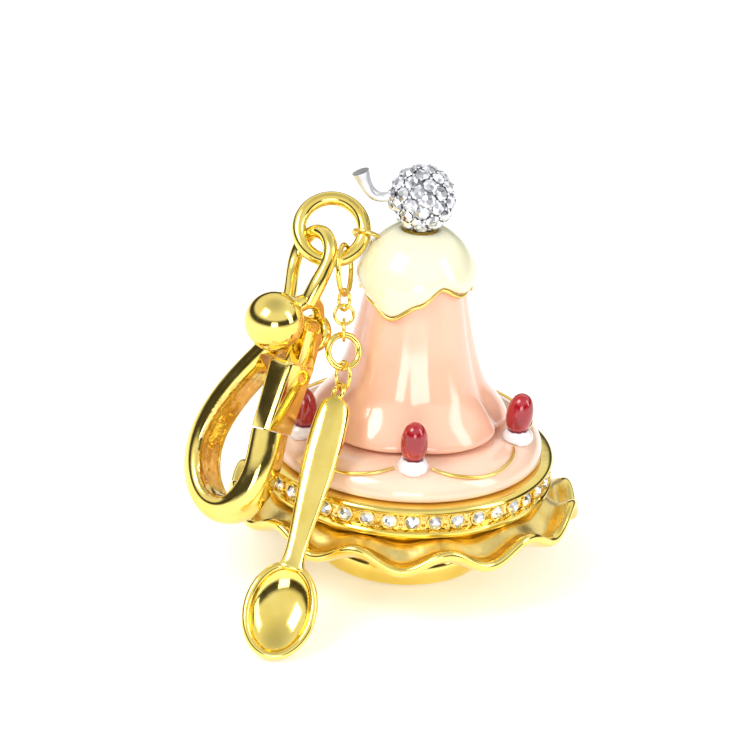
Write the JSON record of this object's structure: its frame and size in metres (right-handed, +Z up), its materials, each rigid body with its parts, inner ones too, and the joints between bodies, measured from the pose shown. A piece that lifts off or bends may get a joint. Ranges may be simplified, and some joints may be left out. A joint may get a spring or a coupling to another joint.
{
  "type": "pudding charm on a hook clasp",
  "caption": "Gold-plated hanging charm: enamelled fluted pudding on a ruffled dish with a crystal band and cherry, with hook clasp, chain and small spoon.",
  "frame": {"origin": "centre of the foot's underside, where the charm stands", "axes": "+Z up through the cherry, the front berry towards -Y, the clasp and spoon towards -X"},
  "size_m": [0.0349, 0.0381, 0.0364],
  "materials": {
    "gold_plate": "polished",
    "silver_plate": "polished",
    "enamel_cream": "gloss",
    "enamel_pink": "gloss",
    "enamel_pale_pink": "gloss",
    "enamel_red": "gloss",
    "enamel_white": "gloss",
    "crystal": "polished"
  },
  "bodies": {
    "pudding": {"foot_disc": "gold_plate", "centre_stud": "silver_plate", "ruffled_dish": "gold_plate", "crystal_band": "gold_plate", "crystal_row": "crystal", "tier": "enamel_pale_pink", "swag_1": "gold_plate", "swag_2": "gold_plate", "swag_3": "gold_plate", "swag_4": "gold_plate", "pudding_body": "enamel_pink", "berry_1": "enamel_red", "berry_2": "enamel_red", "berry_3": "enamel_red", "berry_4": "enamel_red", "cream_dollop_1": "enamel_white", "cream_dollop_2": "enamel_white", "cream_dollop_3": "enamel_white", "cream_dollop_4": "enamel_white", "custard_cap": "enamel_cream", "cap_trim": "gold_plate", "cherry_seat": "gold_plate", "cherry_ball": "silver_plate", "cherry_stem": "silver_plate", "hanger_eyelet": "gold_plate"},
    "ring": {"big_ring": "gold_plate"},
    "clasp": {"hook_body": "gold_plate", "hinge_pin": "gold_plate", "gate_spring": "silver_plate"},
    "gate_lever": {"gate": "gold_plate"},
    "jump_ring": {"jump_ring": "gold_plate"},
    "chain_link_1": {"chain_link_1": "gold_plate"},
    "chain_link_2": {"chain_link_2": "gold_plate"},
    "chain_link_3": {"chain_link_3": "gold_plate"},
    "middle_ring": {"middle_ring": "gold_plate"},
    "spoon_ring": {"spoon_ring": "gold_plate"},
    "spoon_body": {"spoon": "gold_plate"}
  },
  "joints": [
    {"name": "ring_swing", "type": "hinge", "parent": "pudding", "child": "ring", "pos_m": [-0.00484, -0.00036, 0.02964], "axis": [-0.0746, 0.9972, 0], "range_deg": [0, 16]},
    {"name": "clasp_swing", "type": "hinge", "parent": "ring", "child": "clasp", "pos_m": [-0.00872, -0.00159, 0.0281], "axis": [-0.9135, 0.2531, 0.3184], "range_deg": [0, 14]},
    {"name": "gate_hinge", "type": "hinge", "parent": "clasp", "child": "gate_lever", "pos_m": [-0.01015, -0.0052, 0.023], "axis": [0.5757, 0.6849, -0.4467], "range_deg": [0, 18], "stiffness_Nm_per_rad": 0.0004, "springref_deg": -17.19},
    {"name": "jump_ring_swing", "type": "hinge", "parent": "ring", "child": "jump_ring", "pos_m": [-0.00626, -0.00154, 0.02816], "axis": [-1, 0, 0], "range_deg": [0, 14]},
    {"name": "chain_link_1_swing", "type": "hinge", "parent": "jump_ring", "child": "chain_link_1", "pos_m": [-0.00615, -0.00318, 0.02566], "axis": [-1, 0, 0], "range_deg": [0, 12]},
    {"name": "chain_link_2_swing", "type": "hinge", "parent": "chain_link_1", "child": "chain_link_2", "pos_m": [-0.00609, -0.00374, 0.02447], "axis": [-1, 0, 0], "range_deg": [0, 12]},
    {"name": "chain_link_3_swing", "type": "hinge", "parent": "chain_link_2", "child": "chain_link_3", "pos_m": [-0.00604, -0.00427, 0.02338], "axis": [-1, 0, 0], "range_deg": [0, 12]},
    {"name": "middle_ring_swing", "type": "hinge", "parent": "chain_link_3", "child": "middle_ring", "pos_m": [-0.00598, -0.00484, 0.02216], "axis": [-1, 0, 0], "range_deg": [0, 12]},
    {"name": "spoon_ring_swing", "type": "hinge", "parent": "middle_ring", "child": "spoon_ring", "pos_m": [-0.00587, -0.00585, 0.02006], "axis": [-1, 0, 0], "range_deg": [0, 12]},
    {"name": "spoon_swing", "type": "hinge", "parent": "spoon_ring", "child": "spoon_body", "pos_m": [-0.00588, -0.00674, 0.0184], "axis": [-1, 0, 0], "range_deg": [0, 15]}
  ]
}
